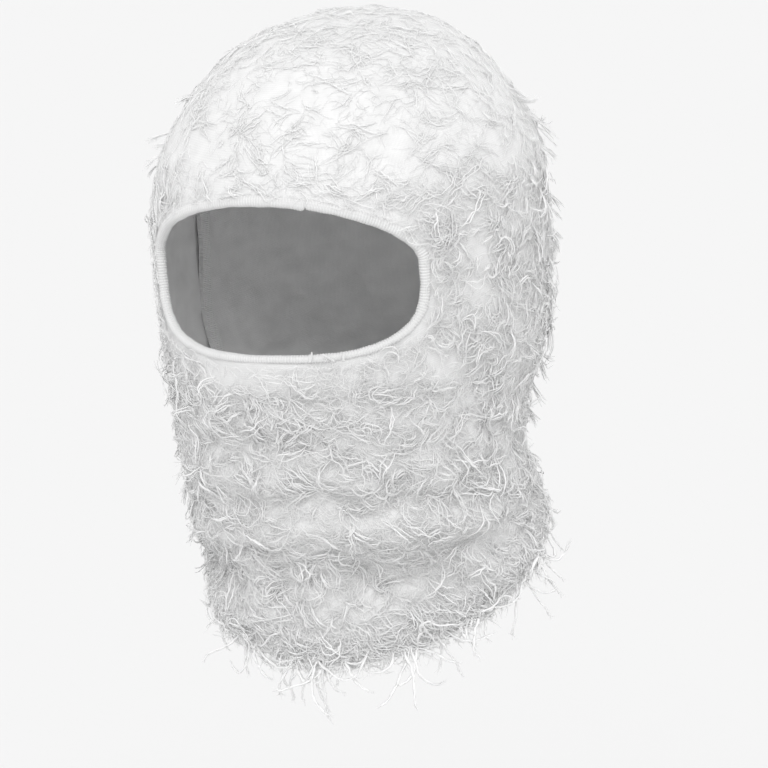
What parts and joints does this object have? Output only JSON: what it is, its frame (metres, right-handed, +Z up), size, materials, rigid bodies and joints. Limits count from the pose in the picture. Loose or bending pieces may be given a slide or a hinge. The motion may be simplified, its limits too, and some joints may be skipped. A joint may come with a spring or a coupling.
{
  "type": "balaclava",
  "caption": "Knitted pull-on hood that covers the head, face and neck, with one wide eye opening, a ribbed binding and a shaggy surface of loose yarns.",
  "frame": {"origin": "the middle of the head at brow height, where the hood is widest; a head inside it is centred here", "axes": "+Z up through the crown, -Y the way the face looks, +X the wearer's left"},
  "size_m": [0.1835, 0.2145, 0.3029],
  "materials": {
    "knit": "white acrylic jersey knit, matte, lightly brushed",
    "knit_hem": "white acrylic jersey knit, turned and stitched, matte",
    "seam": "overlocked seam allowance in white yarn",
    "rib_binding": "white fine rib knit, folded, matte",
    "loose_yarn": "soft white twisted acrylic yarn with cut, tufted ends",
    "label": "blank white satin-woven tape",
    "thread": "white polyester sewing thread"
  },
  "bodies": {
    "root": {"back_crown_dart": "seam", "back_panel": "knit", "back_yarns": "loose_yarn", "care_label": "label", "crown_yarns": "loose_yarn", "eye_binding": "rib_binding", "face_yarns": "loose_yarn", "front_crown_dart": "seam", "front_panel": "knit", "hem_fringe": "loose_yarn", "hem_stitches": "thread", "left_yarns": "loose_yarn", "neck_hem": "knit_hem", "neck_yarns": "loose_yarn", "right_yarns": "loose_yarn", "side_and_crown_seam": "seam"}
  },
  "joints": []
}
